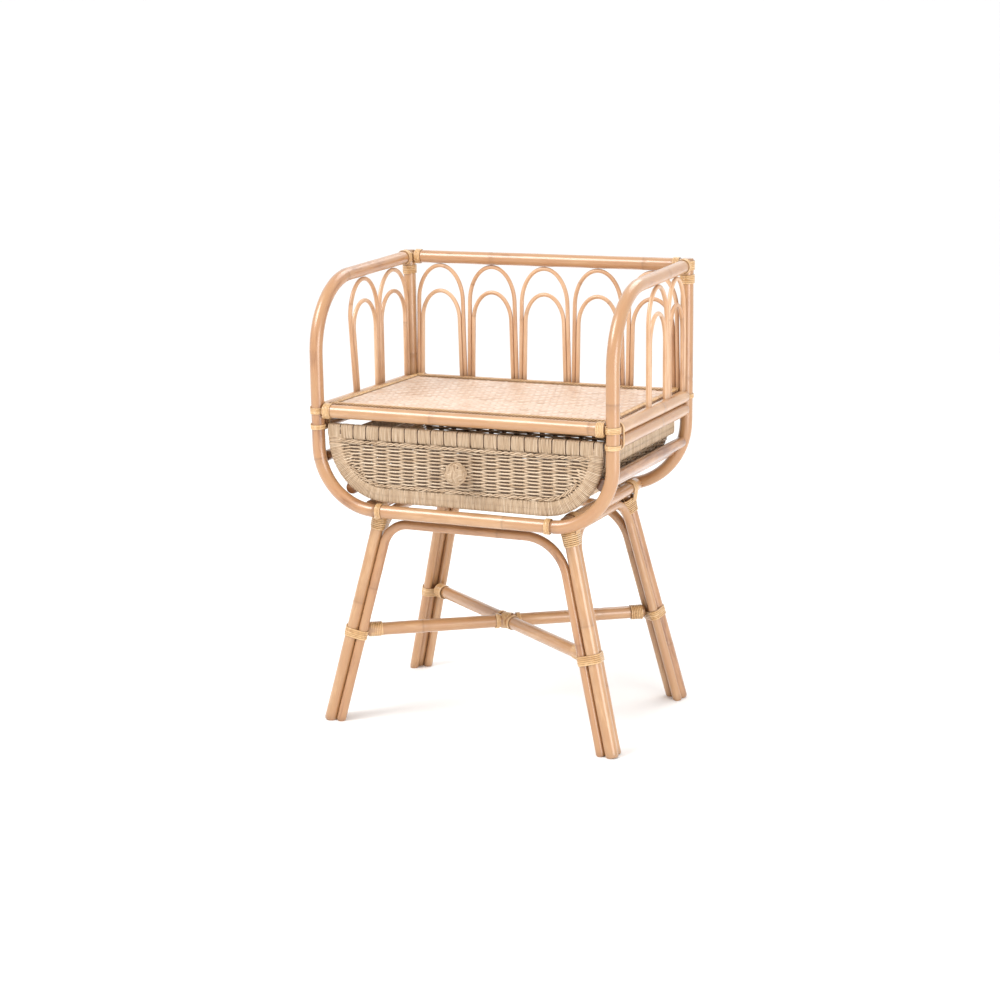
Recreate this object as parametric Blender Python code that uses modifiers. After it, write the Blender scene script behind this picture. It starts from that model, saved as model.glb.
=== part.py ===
"""Rattan side table: a woven shelf inside a three-sided gallery of bent cane arches, and a wicker
drawer that slides out under the shelf, carried on splayed legs with a crossed stretcher.

Metres, +Z up, the front of the table faces -Y. The origin is on the floor, at the middle of the
overall box. Every physical piece is its own object.
"""
import math

import bmesh
import bpy
from mathutils import Matrix, Vector

# Overall frame
POST_SPACING_X = 0.530        # between the axes of the left and right posts
POST_SPACING_Y = 0.354        # between the axes of the front and back posts
TOP_Z = 0.7704                # axis of the top back rail
SHELF_Z = 0.5453              # axis of the rails around the shelf
BOTTOM_Z = 0.3804             # axis of the bottom rails, under the drawer
BOTTOM_SIDE_INSET = 0.0875    # from a post's axis to the axis of a bottom side rail
BOTTOM_SIDE_Z = BOTTOM_Z + 0.0031
POLE_R = 0.0112               # main poles
THIN_POLE_R = 0.0080          # leg arches
GUIDE_R = 0.0095              # drawer guides
CANE_R = 0.0037               # gallery canes
GAP = 0.0003                  # left between pieces that touch

# Bends
ARM_BEND_R = 0.125
ARM_DROP = 0.0125             # how far an arm falls from the back post to its front bend
FRONT_U_R = 0.105
BACK_U_R = 0.120
BEND_STEP = math.radians(9)   # turn between two points on a bend

# Gallery
BACK_ARCHES = 5
ARCH_HALF = 0.0438            # half width of an outer arch at the back, at the cane's axis
ARCH_FLARE = 0.0030           # how far the feet of the back arches spread
ARCH_RISE = 0.064             # height of an outer arch's curved head
INNER_RISE = 0.050
INNER_DROP = 0.0455           # from the head of an outer arch to the head of its inner arch
SIDE_ARCH = {-1: (0.0535, 0.0505), 1: (0.0400, 0.0450)}   # half widths, from the back
FRONT_LEAN = {-1: -0.0120, 1: 0.0}                        # shift of the frontmost foot
SIDE_DROP = {-1: 0.0380, 1: 0.0445}                       # as INNER_DROP, left and right
ARCH_STEPS = 12

# Shelf
PANEL_T = 0.006
PANEL_TOP = 0.0085            # height of the panel's top above the rails' axes

# Legs
FOOT_INSET = (0.0032, 0.0054)     # from a post's axis to the foot below it, in X and Y
LEG_TOP_INSET = (0.0943, 0.0423)  # from a post's axis to the top of the leg
LEG_TOP_Z = BOTTOM_SIDE_Z - POLE_R - GAP
ARCH_RUN_Z = 0.3510           # front and back leg arches
ARCH_RUN_R = (0.045, 0.078)   # left and right bends of the front and back leg arches
SIDE_RUN_R = 0.048            # bend of the side leg arches
STRETCHER_Z = 0.1600

# Drawer front
FRONT_SIDE_GAP = 0.0058       # between the drawer front and the posts
FRONT_TOP_GAP = 0.0091        # between the drawer front and the shelf rail
FRONT_BOTTOM_GAP = 0.0039     # between the drawer front and the bottom rail
FRONT_CORNER_R = 0.105
FRONT_T = 0.012
BORDER_W = 0.026              # width of the wrapped border
FIELD_T = 0.008
KNOB_R = 0.0195
KNOB_NECK_R = 0.0100
KNOB_NECK = 0.0080

# Drawer body
BODY_INSET = 0.0065           # from the outline of the front to the outside of the body
BODY_T = 0.006
BACK_T = 0.008
BACK_CLEAR = 0.0107           # from the back of the drawer to the axes of the back posts
SIDE_DROP_Z = 0.022           # from the top of the drawer front to the top of its sides
RIM_T = 0.012
RIM_H = 0.025
RIM_BEVEL = 0.003

# Drawer supports
GUIDE_Z = 0.465
GUIDE_INSET = 0.0045          # from the post axis, where the posts begin to bend in
RUNNER_ANGLE = {-1: math.radians(51.7), 1: math.radians(26)}  # round the drawer's corner
RUNNER_CLEAR = 0.0005
SPLICE_W = 0.0130             # width of the wrap over a splice in the bottom rails
SPLICE_T = 0.0016
SLIDE_TRAVEL = 0.240

HX = POST_SPACING_X / 2
HY = POST_SPACING_Y / 2
BOTTOM_SIDE_X = HX - BOTTOM_SIDE_INSET
FOOT_X = HX - FOOT_INSET[0]
FOOT_Y = HY - FOOT_INSET[1]
LEG_TOP_X = HX - LEG_TOP_INSET[0]
LEG_TOP_Y = HY - LEG_TOP_INSET[1]
LEG_LEAN = math.hypot(FOOT_X - LEG_TOP_X, FOOT_Y - LEG_TOP_Y) / LEG_TOP_Z
POST_FACE = POLE_R + GAP      # from a post's axis to what butts on it
FRONT_HALF = HX - POLE_R - FRONT_SIDE_GAP
FRONT_TOP = SHELF_Z - POLE_R - FRONT_TOP_GAP
FRONT_BOTTOM = BOTTOM_Z + POLE_R + FRONT_BOTTOM_GAP
FRONT_Y = -(HY - POST_FACE) - GAP             # rear face of the drawer front
CORNER_X = FRONT_HALF - FRONT_CORNER_R        # centres of the drawer's round corners
CORNER_Z = FRONT_BOTTOM + FRONT_CORNER_R
SIDE_TOP = FRONT_TOP - SIDE_DROP_Z
BODY_BACK = HY - BACK_CLEAR - BACK_T - GAP
KNOB_FRONT = FRONT_Y - FRONT_T / 2 - FIELD_T / 2 - GAP - KNOB_NECK - 1.8 * KNOB_R
CENTRE_Y = -(HY + POLE_R + KNOB_FRONT) / 2    # puts the origin at the middle of the box

RATTAN = (0.72, 0.42, 0.20)
CANE = (0.76, 0.52, 0.30)
PANEL = (0.86, 0.72, 0.54)
WICKER = (0.70, 0.55, 0.36)


def clear_scene():
    for obj in list(bpy.data.objects):
        bpy.data.objects.remove(obj, do_unlink=True)
    for coll in list(bpy.data.collections):
        bpy.data.collections.remove(coll)


def new_collection(name):
    coll = bpy.data.collections.new(name)
    bpy.context.scene.collection.children.link(coll)
    return coll


def new_empty(name, location, parent=None):
    empty = bpy.data.objects.new(name, None)
    empty.location = location
    empty.parent = parent
    PARTS.objects.link(empty)
    return empty


def material(name, colour, roughness):
    """The Principled material of this name, made on first use."""
    mat = bpy.data.materials.get(name)
    if mat is None:
        mat = bpy.data.materials.new(name)
        mat.use_nodes = True
        shader = mat.node_tree.nodes["Principled BSDF"]
        shader.inputs["Base Color"].default_value = (*colour, 1.0)
        shader.inputs["Roughness"].default_value = roughness
        shader.inputs["Metallic"].default_value = 0.0
    return mat


def place(obj, parent, colour, roughness=0.35):
    """Link a finished part, give it its own material and hang it on its body's empty."""
    obj.data.materials.append(material(obj.name + "_finish", colour, roughness))
    obj.parent = parent
    PARTS.objects.link(obj)
    return obj


def as_cutter(obj):
    obj.parent = TABLE
    obj.hide_render = True
    obj.display_type = "WIRE"
    CUTTERS.objects.link(obj)
    return obj


def cut(obj, cutter):
    mod = obj.modifiers.new("cut_" + cutter.name, "BOOLEAN")
    mod.operation = "DIFFERENCE"
    mod.solver = "EXACT"
    mod.object = cutter


def rounded(points, radii):
    """A polyline through the points, with each inner corner turned into an arc of its radius."""
    path = [Vector(points[0])]
    for before, corner, after, radius in zip(points, points[1:], points[2:], radii):
        corner = Vector(corner)
        back = (Vector(before) - corner).normalized()
        ahead = (Vector(after) - corner).normalized()
        half = back.angle(ahead) / 2
        middle = corner + (back + ahead).normalized() * radius / math.sin(half)
        start = corner + back * radius / math.tan(half) - middle
        axis = start.cross(corner + ahead * radius / math.tan(half) - middle).normalized()
        turn = math.pi - 2 * half
        steps = max(2, round(turn / BEND_STEP))
        path += [middle + Matrix.Rotation(turn * i / steps, 3, axis) @ start
                 for i in range(steps + 1)]
    path.append(Vector(points[-1]))
    return path


def pole(name, path, radius, sides=12):
    """A capped round pole along a path: a bevelled poly curve turned into a welded mesh."""
    curve = bpy.data.curves.new(name, "CURVE")
    curve.dimensions = "3D"
    curve.bevel_depth = radius
    curve.bevel_resolution = (sides - 4) // 2
    curve.use_fill_caps = True
    spline = curve.splines.new("POLY")
    spline.points.add(len(path) - 1)
    for point, co in zip(spline.points, path):
        point.co = (*co, 1.0)
    return curve_to_mesh(name, curve)


def curve_to_mesh(name, curve, matrix=None):
    holder = bpy.data.objects.new(name + "_curve", curve)
    bpy.context.scene.collection.objects.link(holder)
    if matrix is not None:
        holder.matrix_world = matrix
    bpy.context.view_layer.update()
    graph = bpy.context.evaluated_depsgraph_get()
    mesh = bpy.data.meshes.new_from_object(holder.evaluated_get(graph))
    world = holder.matrix_world.copy()
    bpy.data.objects.remove(holder, do_unlink=True)
    weld(mesh, world)
    mesh.name = name
    obj = bpy.data.objects.new(name, mesh)
    return obj


def weld(mesh, matrix):
    bm = bmesh.new()
    bm.from_mesh(mesh)
    bmesh.ops.transform(bm, matrix=matrix, verts=bm.verts)
    bmesh.ops.remove_doubles(bm, verts=bm.verts, dist=0.00002)
    bmesh.ops.recalc_face_normals(bm, faces=bm.faces)
    bm.to_mesh(mesh)
    bm.free()
    mesh.shade_smooth()
    mesh.set_sharp_from_angle(angle=math.radians(35))


def slab(name, loops, thickness, y_middle):
    """A flat outline in X and Z, with any holes, given a thickness along Y."""
    curve = bpy.data.curves.new(name, "CURVE")
    curve.dimensions = "2D"
    curve.fill_mode = "BOTH"
    curve.extrude = thickness / 2
    for loop in loops:
        spline = curve.splines.new("POLY")
        spline.use_cyclic_u = True
        spline.points.add(len(loop) - 1)
        for point, (x, z) in zip(spline.points, loop):
            point.co = (x, z, 0.0, 1.0)
    stand = Matrix.Translation((0, y_middle, 0)) @ Matrix.Rotation(math.pi / 2, 4, "X")
    return curve_to_mesh(name, curve, stand)


def box(name, low, high):
    bm = bmesh.new()
    bmesh.ops.create_cube(bm, size=1.0)
    size = Vector(high) - Vector(low)
    bmesh.ops.scale(bm, vec=size, verts=bm.verts)
    bmesh.ops.translate(bm, vec=(Vector(low) + Vector(high)) / 2, verts=bm.verts)
    mesh = bpy.data.meshes.new(name)
    bm.to_mesh(mesh)
    bm.free()
    return bpy.data.objects.new(name, mesh)


def straight(name, start, end, radius=POLE_R, sides=12):
    return pole(name, [Vector(start), Vector(end)], radius, sides)


def side_name(side):
    return "left" if side < 0 else "right"


def end_name(end):
    return "front" if end < 0 else "back"


# ---------------------------------------------------------------- frame

def arm_axis_z(y):
    """Height of an arm's axis on its straight part, which falls towards the front."""
    return TOP_Z - ARM_DROP * (HY - y) / POST_SPACING_Y


def side_pole(side):
    """Arm, front post and lower front corner: one pole with two bends."""
    x = side * HX
    back = HY - POST_FACE - POLE_R * ARM_DROP / POST_SPACING_Y    # the sloped end stays clear
    path = rounded([(x, back, arm_axis_z(back)), (x, -HY, arm_axis_z(-HY)), (x, -HY, BOTTOM_Z),
                    (x - side * FRONT_U_R, -HY, BOTTOM_Z)], [ARM_BEND_R, FRONT_U_R - GAP])
    place(pole(side_name(side) + "_side_pole", path, POLE_R), TABLE, RATTAN)


def back_post(side):
    """Back post and lower back corner: one pole with one bend."""
    x = side * HX
    path = rounded([(x, HY, TOP_Z + POLE_R), (x, HY, BOTTOM_Z),
                    (x - side * BACK_U_R, HY, BOTTOM_Z)], [BACK_U_R - GAP])
    place(pole("back_" + side_name(side) + "_post", path, POLE_R), TABLE, RATTAN)


def cross_rails():
    inner = HX - POST_FACE
    place(straight("top_back_rail", (-inner, HY, TOP_Z), (inner, HY, TOP_Z)), TABLE, RATTAN)
    for end in (-1, 1):
        name = "shelf_" + end_name(end) + "_rail"
        ends = ((-inner, end * HY, SHELF_Z), (inner, end * HY, SHELF_Z))
        place(straight(name, *ends), TABLE, RATTAN)
        reach = HX - (FRONT_U_R if end < 0 else BACK_U_R) - GAP
        ends = ((-reach, end * HY, BOTTOM_Z), (reach, end * HY, BOTTOM_Z))
        place(straight("bottom_" + end_name(end) + "_rail", *ends), TABLE, RATTAN)
        for side in (-1, 1):
            splice_wrap(end, side, reach)


def splice_wrap(end, side, reach):
    """The wrapped strip that binds a bottom rail to the bent pole it meets end to end."""
    inner = POLE_R + GAP
    outer = inner + SPLICE_T
    length = SPLICE_W / 2
    name = "splice_wrap_" + end_name(end) + "_" + side_name(side)
    profile = [(inner, -length), (outer, -length), (outer, length), (inner, length)]
    ring = turned(name, profile, closed=True, steps=16)
    centre = side * (reach - length)
    turn = Matrix.Translation((centre, end * HY, BOTTOM_Z)) @ Matrix.Rotation(math.pi / 2, 4, "Y")
    weld(ring.data, turn)
    place(ring, TABLE, CANE, 0.45)


def turned(name, profile, closed, steps):
    """A Screw-turned profile of (radius, height) pairs about Z, applied to a mesh."""
    mesh = bpy.data.meshes.new(name)
    count = len(profile)
    edges = [(i, (i + 1) % count) for i in range(count if closed else count - 1)]
    mesh.from_pydata([(r, 0.0, z) for r, z in profile], edges, [])
    holder = bpy.data.objects.new(name + "_profile", mesh)
    bpy.context.scene.collection.objects.link(holder)
    screw = holder.modifiers.new("turn", "SCREW")
    screw.steps = steps
    screw.render_steps = steps
    screw.use_merge_vertices = True
    screw.merge_threshold = 0.00002
    bpy.context.view_layer.update()
    graph = bpy.context.evaluated_depsgraph_get()
    solid = bpy.data.meshes.new_from_object(holder.evaluated_get(graph))
    bpy.data.objects.remove(holder, do_unlink=True)
    weld(solid, Matrix.Identity(4))
    solid.name = name
    return bpy.data.objects.new(name, solid)


def side_rails(side):
    """The rails that run front to back on one side, from the shelf down to the drawer runner."""
    reach = HY - POST_FACE
    name = side_name(side)
    beside = FRONT_CORNER_R - BODY_INSET + RUNNER_CLEAR + POLE_R
    runner_x = CORNER_X + beside * math.cos(RUNNER_ANGLE[side])
    runner_z = CORNER_Z - beside * math.sin(RUNNER_ANGLE[side])
    runs = {
        "shelf_" + name + "_rail": (HX, SHELF_Z, POLE_R),
        name + "_kicker_rail": (HX, SHELF_Z - 2 * POLE_R - GAP, POLE_R),
        name + "_guide_pole": (HX - GUIDE_INSET, GUIDE_Z, GUIDE_R),
        name + "_drawer_runner": (runner_x, runner_z, POLE_R),
        "bottom_" + name + "_rail": (BOTTOM_SIDE_X, BOTTOM_SIDE_Z, POLE_R),
    }
    for node, (x, z, radius) in runs.items():
        ends = ((side * x, -reach, z), (side * x, reach, z))
        place(straight(node, *ends, radius), TABLE, RATTAN)


def shelf_panel():
    x = HX - POST_FACE
    y = HY - POST_FACE
    top = SHELF_Z + PANEL_TOP
    panel = box("shelf_panel", (-x, -y, top - PANEL_T), (x, y, top))
    place(panel, TABLE, PANEL, 0.55)


# ---------------------------------------------------------------- gallery

def arch_path(half, foot_z, head_z, rise):
    """An upright arch in X and Z: straight legs, then half an ellipse."""
    path = [Vector((-half, 0, foot_z))]
    for i in range(ARCH_STEPS + 1):
        angle = math.pi * i / ARCH_STEPS
        path.append(Vector((-half * math.cos(angle), 0, head_z - rise + rise * math.sin(angle))))
    path.append(Vector((half, 0, foot_z)))
    return path


def leaning(path, lean_z, spread):
    """The path with its feet moved outwards by spread, left and right, from height lean_z down."""
    foot_z = path[0].z
    for point in path:
        share = max(0.0, (lean_z - point.z) / (lean_z - foot_z))
        point.x += (-spread[0] if point.x < 0 else spread[1]) * share
    return path


def double_arch(name, matrix, half, head_z, inner_drop, spread=(0.0, 0.0)):
    """An outer arch under the rail and a shorter one nested in it, feet on the shelf rail."""
    foot_z = SHELF_Z + POLE_R + GAP
    step = 2 * CANE_R + GAP
    lean_z = head_z - ARCH_RISE
    for prefix, width, head, rise in (("outer", half, head_z, ARCH_RISE),
                                      ("inner", half - step, head_z - inner_drop, INNER_RISE)):
        path = leaning(arch_path(width, foot_z, head, rise), lean_z, spread)
        cane = pole(name + "_" + prefix + "_arch", [matrix @ p for p in path], CANE_R, sides=8)
        place(cane, TABLE, CANE)


def gallery():
    under_rail = TOP_Z - POLE_R - CANE_R - GAP
    pitch = 2 * (HX - POLE_R) / BACK_ARCHES
    shrink = min(1.0, (pitch / 2 - CANE_R - GAP - ARCH_FLARE) / ARCH_HALF)
    for i in range(BACK_ARCHES):
        x = (i - (BACK_ARCHES - 1) / 2) * pitch
        place_at = Matrix.Translation((x, HY, 0))
        double_arch("back_" + str(i + 1), place_at, ARCH_HALF * shrink, under_rail, INNER_DROP,
                    (ARCH_FLARE, ARCH_FLARE))
    for side, halves in SIDE_ARCH.items():
        edge = HY - POLE_R - 2 * GAP
        for i, half in enumerate(halves):
            y = edge - CANE_R - half
            edge = y - half - CANE_R - GAP
            head = arm_axis_z(y - half / 3) - POLE_R - CANE_R - GAP
            turn = Matrix.Translation((side * HX, y, 0)) @ Matrix.Rotation(math.pi / 2, 4, "Z")
            name = side_name(side) + "_" + str(i + 1)
            lean = FRONT_LEAN[side] if i == len(halves) - 1 else 0.0
            double_arch(name, turn, half, head, SIDE_DROP[side], (lean, 0.0))


# ---------------------------------------------------------------- legs

def leg_point(side, end, z, inset_x=0.0, inset_y=0.0):
    """A point on a leg's axis at height z, moved towards the middle of the table."""
    share = z / LEG_TOP_Z
    x = FOOT_X + (LEG_TOP_X - FOOT_X) * share - inset_x
    y = FOOT_Y + (LEG_TOP_Y - FOOT_Y) * share - inset_y
    return Vector((side * x, end * y, z))


def beside_leg(across):
    """Distance from a leg's axis, along X or Y, to the axis of the arch pole beside it."""
    slope = (leg_point(1, 1, LEG_TOP_Z) - leg_point(1, 1, 0)).normalized()
    return (POLE_R + THIN_POLE_R + GAP) / math.sqrt(1 - slope[across] ** 2)


def leg(side, end):
    """A splayed pole whose two ends are cut level: a cylinder sheared along its slope."""
    name = end_name(end) + "_" + side_name(side) + "_leg"
    foot = leg_point(side, end, 0)
    head = leg_point(side, end, LEG_TOP_Z)
    bm = bmesh.new()
    bmesh.ops.create_cone(bm, cap_ends=True, segments=16, radius1=POLE_R, radius2=POLE_R,
                          depth=LEG_TOP_Z)
    shear = Matrix.Identity(4)
    shear[0][2] = (head.x - foot.x) / LEG_TOP_Z
    shear[1][2] = (head.y - foot.y) / LEG_TOP_Z
    bmesh.ops.transform(bm, matrix=Matrix.Translation((foot + head) / 2) @ shear, verts=bm.verts)
    mesh = bpy.data.meshes.new(name)
    bm.to_mesh(mesh)
    bm.free()
    mesh.shade_smooth()
    mesh.set_sharp_from_angle(angle=math.radians(35))
    place(bpy.data.objects.new(name, mesh), TABLE, RATTAN)


def leg_arch(name, feet, heads, bends, floor):
    """An inverted U whose two ends run down beside the legs and are cut level at the floor."""
    below = 0.03
    ends = [foot + (foot - head).normalized() * below for foot, head in zip(feet, heads)]
    path = rounded([ends[0], heads[0], heads[1], ends[1]], bends)
    arch = pole(name, path, THIN_POLE_R)
    cut(arch, floor)
    place(arch, TABLE, RATTAN)


def legs():
    floor = as_cutter(box("floor_cut", (-1, -1, -0.2), (1, 1, 0)))
    inset_x = beside_leg(0)
    inset_y = beside_leg(1)
    side_run_z = BOTTOM_SIDE_Z - POLE_R - THIN_POLE_R - GAP
    for end in (-1, 1):
        for side in (-1, 1):
            leg(side, end)
        feet = [leg_point(side, end, 0, inset_x) for side in (-1, 1)]
        heads = [leg_point(side, end, ARCH_RUN_Z, inset_x) for side in (-1, 1)]
        leg_arch(end_name(end) + "_leg_arch", feet, heads, ARCH_RUN_R, floor)
    for side in (-1, 1):
        feet = [leg_point(side, end, 0, 0, inset_y) for end in (-1, 1)]
        heads = [leg_point(side, end, side_run_z, 0, inset_y) for end in (-1, 1)]
        leg_arch(side_name(side) + "_leg_arch", feet, heads, (SIDE_RUN_R, SIDE_RUN_R), floor)


def stretchers():
    """Two poles that cross at one level, each notched half way through at the crossing."""
    corner = leg_point(1, 1, STRETCHER_Z)
    flat = Vector((corner.x, corner.y, 0))
    along = flat.normalized()
    clear = beside_leg(0) * along.x + THIN_POLE_R + GAP + POLE_R * LEG_LEAN / 2
    reach = along * (flat.length - clear)
    notch = 2 * (POLE_R + GAP) / abs(2 * along.x * along.y)
    for name, sign, level in (("stretcher_front_left", 1, 1), ("stretcher_back_left", -1, -1)):
        tip = Vector((reach.x, sign * reach.y, STRETCHER_Z))
        start = Vector((-tip.x, -tip.y, STRETCHER_Z))
        rod = straight(name, start, tip)
        middle = STRETCHER_Z - level * GAP / 2
        low, high = sorted((middle, middle + level * 2 * POLE_R))
        slot = box(name + "_notch", (-notch, -POLE_R - GAP, low), (notch, POLE_R + GAP, high))
        across = Vector((along.x, -sign * along.y, 0))
        slot.data.transform(Matrix.Rotation(math.atan2(across.y, across.x), 4, "Z"))
        cut(rod, as_cutter(slot))
        place(rod, TABLE, RATTAN)


# ---------------------------------------------------------------- drawer

def trough_outline(inset, top):
    """The drawer's outline in X and Z, open at the top, moved in by inset: left top, round the
    bottom, to right top. A top below the corners' centres starts part of the way round."""
    radius = FRONT_CORNER_R - inset
    begin = math.asin(max(0.0, CORNER_Z - top) / radius)
    steps = 9
    outline = []
    if top > CORNER_Z:
        outline.append((-CORNER_X - radius, top))
    for i in range(steps + 1):
        angle = math.pi + begin + (math.pi / 2 - begin) * i / steps
        outline.append((-CORNER_X + radius * math.cos(angle), CORNER_Z + radius * math.sin(angle)))
    return outline + [(-x, z) for x, z in reversed(outline)]


def band(name, low, high):
    """A flat bar with rounded edges."""
    obj = box(name, low, high)
    bm = bmesh.new()
    bm.from_mesh(obj.data)
    bmesh.ops.bevel(bm, geom=bm.edges[:], offset=RIM_BEVEL, segments=2, profile=0.5,
                    affect="EDGES")
    bm.to_mesh(obj.data)
    bm.free()
    obj.data.shade_smooth()
    obj.data.set_sharp_from_angle(angle=math.radians(35))
    return obj


def drawer():
    body_top = SIDE_TOP - RIM_H - GAP
    front_mid = FRONT_Y - FRONT_T / 2
    outer = trough_outline(0, FRONT_TOP)
    hole = trough_outline(BORDER_W, FRONT_TOP - BORDER_W)
    place(slab("drawer_front_frame", [outer, hole], FRONT_T, front_mid), DRAWER, WICKER, 0.6)
    field = trough_outline(BORDER_W + GAP, FRONT_TOP - BORDER_W - GAP)
    place(slab("drawer_front_field", [field], FIELD_T, front_mid), DRAWER, WICKER, 0.6)
    shell = trough_outline(BODY_INSET, body_top)
    shell += reversed(trough_outline(BODY_INSET + BODY_T, body_top))
    start = FRONT_Y + GAP
    length = BODY_BACK - start
    place(slab("drawer_body", [shell], length, start + length / 2), DRAWER, WICKER, 0.6)
    back = trough_outline(BODY_INSET, body_top)
    place(slab("drawer_back", [back], BACK_T, BODY_BACK + GAP + BACK_T / 2), DRAWER, WICKER, 0.6)
    rims(start, BODY_BACK + GAP + BACK_T)
    knob()


def rims(start, end):
    """The wrapped bands along the tops of the drawer's sides and back."""
    inner = FRONT_HALF - RIM_T
    low = SIDE_TOP - RIM_H
    for side in (-1, 1):
        left, right = sorted((side * inner, side * FRONT_HALF))
        rim = band("drawer_" + side_name(side) + "_rim", (left, start, low), (right, end, SIDE_TOP))
        place(rim, DRAWER, WICKER, 0.6)
    reach = inner - GAP
    rim = band("drawer_back_rim", (-reach, end - RIM_T, low), (reach, end, SIDE_TOP))
    place(rim, DRAWER, WICKER, 0.6)


def knob():
    """A ball on a short neck, turned about Y, against the middle of the woven field."""
    face_y = FRONT_Y - FRONT_T / 2 - FIELD_T / 2 - GAP
    start = math.asin(KNOB_NECK_R / KNOB_R)
    steps = 9
    profile = [(0.0, 0.0), (KNOB_NECK_R, 0.0)]
    ball_z = KNOB_NECK + KNOB_R * 0.8
    for i in range(steps + 1):
        angle = start + (math.pi - start) * i / steps
        profile.append((KNOB_R * math.sin(angle), ball_z - KNOB_R * math.cos(angle)))
    ball = turned("drawer_knob", profile, closed=False, steps=16)
    centre_z = (FRONT_TOP + FRONT_BOTTOM) / 2
    turn = Matrix.Translation((0, face_y, centre_z)) @ Matrix.Rotation(math.pi / 2, 4, "X")
    weld(ball.data, turn)
    place(ball, DRAWER, WICKER, 0.6)


clear_scene()
PARTS = new_collection("rattan_side_table")
CUTTERS = new_collection("cutters")
TABLE = new_empty("table_frame", (0, CENTRE_Y, 0))
DRAWER = new_empty("drawer_slide", (0, 0, 0), TABLE)
DRAWER["slide_travel"] = SLIDE_TRAVEL
for each_side in (-1, 1):
    side_pole(each_side)
    back_post(each_side)
    side_rails(each_side)
cross_rails()
shelf_panel()
gallery()
legs()
stretchers()
drawer()
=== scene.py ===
"""Looks of the rattan side table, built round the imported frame: lacquered rattan poles, bindings
of rattan peel, a twill-woven shelf, and a wicker drawer with wrapped borders and a woven ball
knob. Metres, +Z up, the front faces -Y."""

import math
import random

import bpy
import numpy as np
from mathutils import Matrix, Vector


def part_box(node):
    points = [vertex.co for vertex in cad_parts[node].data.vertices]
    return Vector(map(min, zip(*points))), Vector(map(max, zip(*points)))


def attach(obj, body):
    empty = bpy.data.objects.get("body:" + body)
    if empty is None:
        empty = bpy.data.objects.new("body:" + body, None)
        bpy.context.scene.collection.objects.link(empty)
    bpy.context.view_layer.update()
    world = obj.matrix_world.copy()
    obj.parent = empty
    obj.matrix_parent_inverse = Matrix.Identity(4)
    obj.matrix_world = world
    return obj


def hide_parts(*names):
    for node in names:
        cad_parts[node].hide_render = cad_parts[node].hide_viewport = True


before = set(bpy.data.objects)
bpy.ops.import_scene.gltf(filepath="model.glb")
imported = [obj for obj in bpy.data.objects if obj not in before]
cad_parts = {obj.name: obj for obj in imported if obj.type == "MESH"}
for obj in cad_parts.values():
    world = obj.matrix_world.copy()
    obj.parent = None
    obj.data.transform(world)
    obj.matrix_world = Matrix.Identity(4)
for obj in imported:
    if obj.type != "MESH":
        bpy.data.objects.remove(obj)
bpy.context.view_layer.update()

SIDES = (-1, 1)
SIDE = {-1: "left", 1: "right"}
END = {-1: "front", 1: "back"}


# ------------------------------------------------------------ sizes

def middle(node):
    """The middle of a node's box."""
    low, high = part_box(node)
    return (low + high) / 2


def half_size(node):
    """Half the size of a node's box along X, Y and Z."""
    low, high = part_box(node)
    return (high - low) / 2


# measured on the frame
POLE_R = half_size("shelf_front_rail").z
CANE_R = half_size("back_1_outer_arch").y
GUIDE_R = half_size("left_guide_pole").z
CY = middle("shelf_panel").y
HX = middle("shelf_right_rail").x
HY = middle("top_back_rail").y - CY
TOP_Z = middle("top_back_rail").z
SHELF_Z = middle("shelf_front_rail").z
BOTTOM_Z = middle("bottom_front_rail").z
BOTTOM_SIDE = middle("bottom_right_rail")
FRONT_U_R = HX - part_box("bottom_front_rail")[1].x
BACK_U_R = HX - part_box("bottom_back_rail")[1].x

# the frame's own shapes that no box shows
THIN_R = 0.0080                # poles of the leg arches
ARM_DROP = 0.0125              # fall of an arm from the back post to its front bend
ARM_BEND_R = 0.125
OUTER_RISE = 0.064             # height of the curved head of an outer and an inner arch
INNER_RISE = 0.050
BACK_FLARE = 0.0030            # spread of the feet of the back arches
ARCH_FEET = {"left_2": (-0.0120, 0.0)}     # the same on a side arch, front foot and back foot
LEG_ARCH_BENDS = (0.045, 0.078)
SIDE_ARCH_BEND = 0.048
BORDER_W = 0.026               # wrapped border of the drawer front
CORNER_R = 0.105               # round corners of the drawer front

# strands
BEND_CLEAR = 0.0005            # taken off a bend, so that its pole ends short of the rail
PEEL_T = 0.0009                # thickness of a strand of rattan peel
STEP = 0.003                   # spacing of rings of vertices along a pole
STAKE_SPACING = 0.025          # between the upright stakes of the drawer's front and back


# ------------------------------------------------------------ materials

def ramp(nodes, stops):
    """A colour ramp through (position, colour) stops."""
    node = nodes.new("ShaderNodeValToRGB")
    while len(node.color_ramp.elements) < len(stops):
        node.color_ramp.elements.new(0.5)
    for element, (at, colour) in zip(node.color_ramp.elements, stops):
        element.position = at
        element.color = (*colour, 1.0)
    return node


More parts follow.
